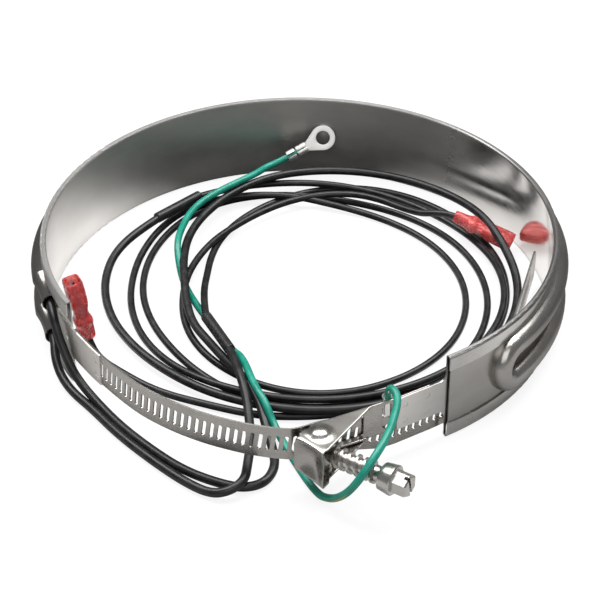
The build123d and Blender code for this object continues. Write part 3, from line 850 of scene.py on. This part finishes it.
leftLead = {
    "length": 0.967,
    "start": ((-0.0365, -0.0277, 0.0097), (-0.0382, -0.0240, 0.0097)),
    "startDegrees": 213,
    "endDegrees": -462,
    "radii": (0.0515, 0.0484, 0.0640, 0.0830, 0.0820, 0.0790, 0.0780, 0.0800,
              0.0728, 0.0760, 0.0815, 0.0705, 0.0696, 0.0720, 0.0780, 0.0870),
    "end": (
        (-0.0222, -0.0765, 0.0016),
        (-0.0310, -0.0735, 0.0016),
        (-0.0400, -0.0700, 0.00155),
        (-0.0500, -0.0660, 0.00155),
        (-0.0600, -0.0603, 0.00155),
        (-0.0708, -0.0512, 0.0016),
        (-0.0805, -0.0432, 0.0026),
        (-0.08462, -0.03884, 0.00862),
        (-0.08603, -0.03849, 0.01648),
    ),
}
rightLead = {
    "length": 1.023,
    "start": (-0.0480, 0.0637, 0.0097),
    "startDegrees": 130.6,
    "endDegrees": -656,
    "radii": (0.0805, 0.0792, 0.0770, 0.0785, 0.0785, 0.0790, 0.0800, 0.0798,
              0.0825, 0.0652, 0.0605, 0.0622, 0.0675, 0.0714, 0.0640, 0.0562,
              0.0575, 0.0700, 0.0660),
    "end": (
        (0.0510, 0.0535, 0.0085),
        (0.0592, 0.0497, 0.0118),
        (0.0663, 0.04695, 0.01268),
        (0.07346, 0.04415, 0.01045),
    ),
}
upperLead = {
    "length": 0.857,
    "start": (
        (-0.10379, -0.02298, 0.0270),
        (-0.10133, -0.03212, 0.0270),
        (-0.0978, -0.0420, 0.0270),
        (-0.0962, -0.0486, 0.0240),
        (-0.0940, -0.0520, 0.0176),
        (-0.0912, -0.0560, 0.0110),
        (-0.0866, -0.0620, 0.0056),
        (-0.0786, -0.0718, 0.0024),
        (-0.0684, -0.0856, 0.00185),
        (-0.0560, -0.0994, 0.00185),
        (-0.0434, -0.1112, 0.00185),
        (-0.0304, -0.1184, 0.00185),
        (-0.0206, -0.1214, 0.00185),
        (-0.0126, -0.1182, 0.00185),
        (-0.0090, -0.1090, 0.00185),
        (-0.0102, -0.0986, 0.00185),
        (-0.0130, -0.0875, 0.00185),
        (-0.0154, -0.0765, 0.00185),
        (-0.0220, -0.0620, 0.00185),
        (-0.0296, -0.0495, 0.00185),
    ),
    "startDegrees": 225,
    "endDegrees": -205,
    "radii": (0.0620, 0.0565, 0.0705, 0.0838, 0.0868, 0.0860,
              0.0820, 0.0860, 0.0845, 0.0908, 0.0860),
    "sleeve": ((-0.0626, 0.0486, 0.0097), (-0.0550, 0.0564, 0.0097)),
    "overBoot": ((11, -0.0005), (12, -0.0015), (13, -0.0032),
                 (14, -0.0036), (15, -0.0020), (16, -0.0006)),
}
lowerLead = {
    "length": 0.231,
    "start": (
        (-0.10379, -0.02298, 0.0111),
        (-0.10133, -0.03212, 0.0111),
        (-0.0978, -0.0420, 0.0110),
        (-0.0972, -0.0490, 0.0076),
        (-0.0944, -0.0564, 0.0040),
        (-0.0890, -0.0646, 0.0021),
        (-0.0808, -0.0741, 0.00185),
        (-0.0690, -0.0904, 0.00185),
        (-0.0546, -0.1062, 0.00185),
        (-0.0424, -0.1180, 0.00185),
        (-0.0326, -0.1250, 0.0022),
        (-0.0255, -0.1255, 0.0042),
        (-0.0202, -0.1212, 0.0057),
        (-0.0194, -0.1124, 0.0046),
        (-0.0184, -0.1006, 0.0030),
        (-0.0192, -0.0880, 0.0040),
        (-0.0206, -0.0755, 0.0070),
        (-0.0238, -0.0620, 0.0090),
        (-0.0276, -0.0470, 0.0097),
        (-0.0320, -0.0375, 0.0097),
    ),
}
groundLead = {
    "length": 0.348,
    "over": (12, 14),
    "under": (15, 19),
    "points": (
        (0.03269, -0.09728, 0.02105),
        (0.03269, -0.09728, 0.0288),
        (0.03411, -0.10012, 0.0324),
        (0.03634, -0.10526, 0.0316),
        (0.0338, -0.1179, 0.0305),
        (0.0304, -0.1280, 0.0298),
        (0.0257, -0.1360, 0.0274),
        (0.0208, -0.1394, 0.0206),
        (0.0164, -0.1366, 0.0120),
        (0.0116, -0.1308, 0.0046),
        (0.0056, -0.1241, 0.0016),
        (-0.0087, -0.0890, 0.00160),
        (-0.0134, -0.0800, 0.00320),
        (-0.0177, -0.0712, 0.00700),
        (-0.0225, -0.0533, 0.00600),
        (-0.0269, -0.0380, 0.00240),
        (-0.0317, -0.0281, 0.00155),
        (-0.0383, -0.0149, 0.00155),
        (-0.0447, -0.0014, 0.00155),
        (-0.0500, 0.0132, 0.00155),
        (-0.0528, 0.0269, 0.00300),
        (-0.0516, 0.0394, 0.00600),
        (-0.0470, 0.0555, 0.00800),
        (-0.0359, 0.0671, 0.01000),
        (-0.0202, 0.0801, 0.01180),
        (-0.0154, 0.0876, 0.0118),
        (-0.00858, 0.09145, 0.01283),
        (0.0021, 0.09488, 0.01763),
    ),
}


def buildLeads():
    thin, thick = cordStyles["thinRadius"], cordStyles["thickRadius"]

    # The ground wire's low run lies on the floor first, and the leads pass over it
    first, last = groundLead["under"]
    lowRun = [Vector(point) for point in groundLead["points"][first:last + 1]]
    for a, b in zip(lowRun, lowRun[1:]):
        for step in range(6):
            laid.append((*a.lerp(b, step / 6), thin))
    lowSamples = len(laid)

    points = turnPoints(leftLead["startDegrees"], leftLead["endDegrees"], leftLead["radii"])
    points = list(leftLead["start"]) + points[1:] + list(leftLead["end"])
    points = settle(points, thin, 2, len(points) - 8)
    left = addCord("leftLead", points, thin, rubber)

    points = turnPoints(rightLead["startDegrees"], rightLead["endDegrees"], rightLead["radii"])
    start = rightLead["start"]
    points = [start, (*points[0][:2], start[2])] + points[1:] + list(rightLead["end"])
    points = settle(points, thin, 2, len(points) - 3)
    right = addCord("rightLead", points, thin, rubber)

    points = turnPoints(upperLead["startDegrees"], upperLead["endDegrees"], upperLead["radii"])
    # It passes over the right boot's waist, a little further in than the rest of its turn
    centre = Vector(cordStyles["coilCentre"])
    for index, inward in upperLead["overBoot"]:
        spot = Vector(points[index][:2]) - centre
        spot = centre + spot * (1 + inward / spot.length)
        points[index] = (spot.x, spot.y, 0.0)
    boot = bootValues["boots"]["bootRight"]
    for step in range(9, 22):
        spot = Vector(boot["leadEnd"]).lerp(Vector(boot["mouth"]), step / 24)
        laid.append((spot.x, spot.y, spot.z, bootValues["waistRadius"]))
    first = len(upperLead["start"]) - 4
    points = list(upperLead["start"]) + points + list(upperLead["sleeve"])
    points = settle(points, thick, first, len(points) - 3)
    upper = addCord("upperLead", points, thick, rubber)

    points = list(lowerLead["start"])
    points = settle(points, thick, 13, len(points) - 3)
    lower = addCord("lowerLead", points, thick, rubber)

    # The wire's own low run is taken out again before the wire is laid over the leads
    del laid[:lowSamples]
    points = settle(list(groundLead["points"]), thin, *groundLead["over"])
    points = settle(points, thin, last + 1, len(points) - 4)
    ground = addCord("groundLead", points, thin, green)

    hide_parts("lead_end_left", "lead_coil")
    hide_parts("lead_upper")
    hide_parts("lead_lower")
    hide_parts("ground_wire", "ground_wire_end")


buildLeads()
print("leads laid")


# Floor and light
studio = {
    "ringRadius": 0.104,
    "leftFrom": 0.048,
    "rightFrom": 0.03,
    "glowFrom": 0.035,
    "floorWhiteShare": 0.85,
    # The floor tones and glow below are painted shade and painted light, seen only in reflections
    "floorEdgeTone": 1.0,
    "floorCentreTone": 0.1,
    "floorFrontTone": 0.4,
    "floorRightGlow": 0.5,
    "floorSideTone": 0.08,
    "worldTone": (1.0, 1.0, 1.0),
    "worldStrength": 0.25,
    "lamps": {
        "overheadLamp": {"place": (0.0, 0.3, 1.4), "size": 1.2, "watts": 20.0},
        "backRightLamp": {"place": (0.55, 0.4, 1.1), "size": 0.6, "watts": 8.0},
        "backLeftLamp": {"place": (-0.6, 0.4, 1.1), "size": 0.6, "watts": 8.0},
        "frontLamp": {"place": (0.05, -1.05, 0.85), "size": 1.0, "watts": 5.0},
    },
}


def addFloor():
    deselectAll()
    bpy.ops.mesh.primitive_plane_add(size=6, location=(0, 0, -0.0002))
    floor = bpy.context.object
    floor.name = "floor"
    finish = Finish("floorPaper")
    # The paper is white to the camera. To reflected rays its colour is painted shade and painted
    # light: dark inside the ring and at the sides, light towards the ring's ends and the front, so
    # the metal shows painted reflections
    x, y, z = finish.xyz()
    within = ((studio["ringRadius"] - (x * x + y * y).maths("SQRT")) * 400).limited()
    toLeft = ((x * -1) - studio["leftFrom"]) * 32
    toSides = toLeft.maths("MAXIMUM", (x - studio["rightFrom"]) * 40).limited()
    toFront = (y * -14 + 0.1).limited()
    edgeTone, centreTone = studio["floorEdgeTone"], studio["floorCentreTone"]
    frontTone, sideTone = studio["floorFrontTone"], studio["floorSideTone"]
    inner = toSides * (edgeTone - centreTone) + centreTone
    outer = toFront * (frontTone - sideTone) + sideTone
    path = finish.node("ShaderNodeLightPath")
    camera = finish.out(path, "Is Camera Ray")
    finish.feed("Base Color", camera + (1 - camera) * (within * inner + (1 - within) * outer))
    finish.feed("Roughness", 0.9)
    glow = finish.node("ShaderNodeEmission", None, Color=(1, 1, 1, 1), Strength=1.0)
    mix = finish.node("ShaderNodeMixShader")
    # Painted light: inside the ring on the right the floor glows for reflected rays, though it is
    # no lamp
    rightGlow = ((x - studio["glowFrom"]) * 40).limited() * within * studio["floorRightGlow"]
    share = camera * studio["floorWhiteShare"] + (1 - camera) * rightGlow
    finish.links.new(share.socket, mix.inputs[0])
    finish.links.new(finish.shader.outputs[0], mix.inputs[1])
    finish.links.new(glow.outputs[0], mix.inputs[2])
    finish.links.new(mix.outputs[0], finish.nodes["Material Output"].inputs[0])
    floor.data.materials.append(finish.material)


def addLamp(name, place, size, watts):
    turn = (-Vector(place)).to_track_quat("-Z", "Y").to_euler()
    bpy.ops.object.light_add(type="AREA", location=place, rotation=turn)
    lamp = bpy.context.object
    lamp.name = name
    lamp.data.size = size
    lamp.data.energy = watts


def addWorld():
    world = bpy.data.worlds.new("studioWorld")
    scene.world = world
    world.use_nodes = True
    nodes = world.node_tree.nodes
    links = world.node_tree.links
    plain = nodes["Background"]
    plain.inputs[0].default_value = (*studio["worldTone"], 1)
    plain.inputs[1].default_value = studio["worldStrength"]
    white = nodes.new("ShaderNodeBackground")
    white.inputs[0].default_value = (1, 1, 1, 1)
    white.inputs[1].default_value = 1.0
    path = nodes.new("ShaderNodeLightPath")
    mix = nodes.new("ShaderNodeMixShader")
    links.new(path.outputs["Is Camera Ray"], mix.inputs[0])
    links.new(plain.outputs[0], mix.inputs[1])
    links.new(white.outputs[0], mix.inputs[2])
    links.new(mix.outputs[0], nodes["World Output"].inputs[0])


addFloor()
for lampName, lampValues in studio["lamps"].items():
    addLamp(lampName, **lampValues)
addWorld()
scene.view_settings.view_transform = "Standard"
print("studio set")
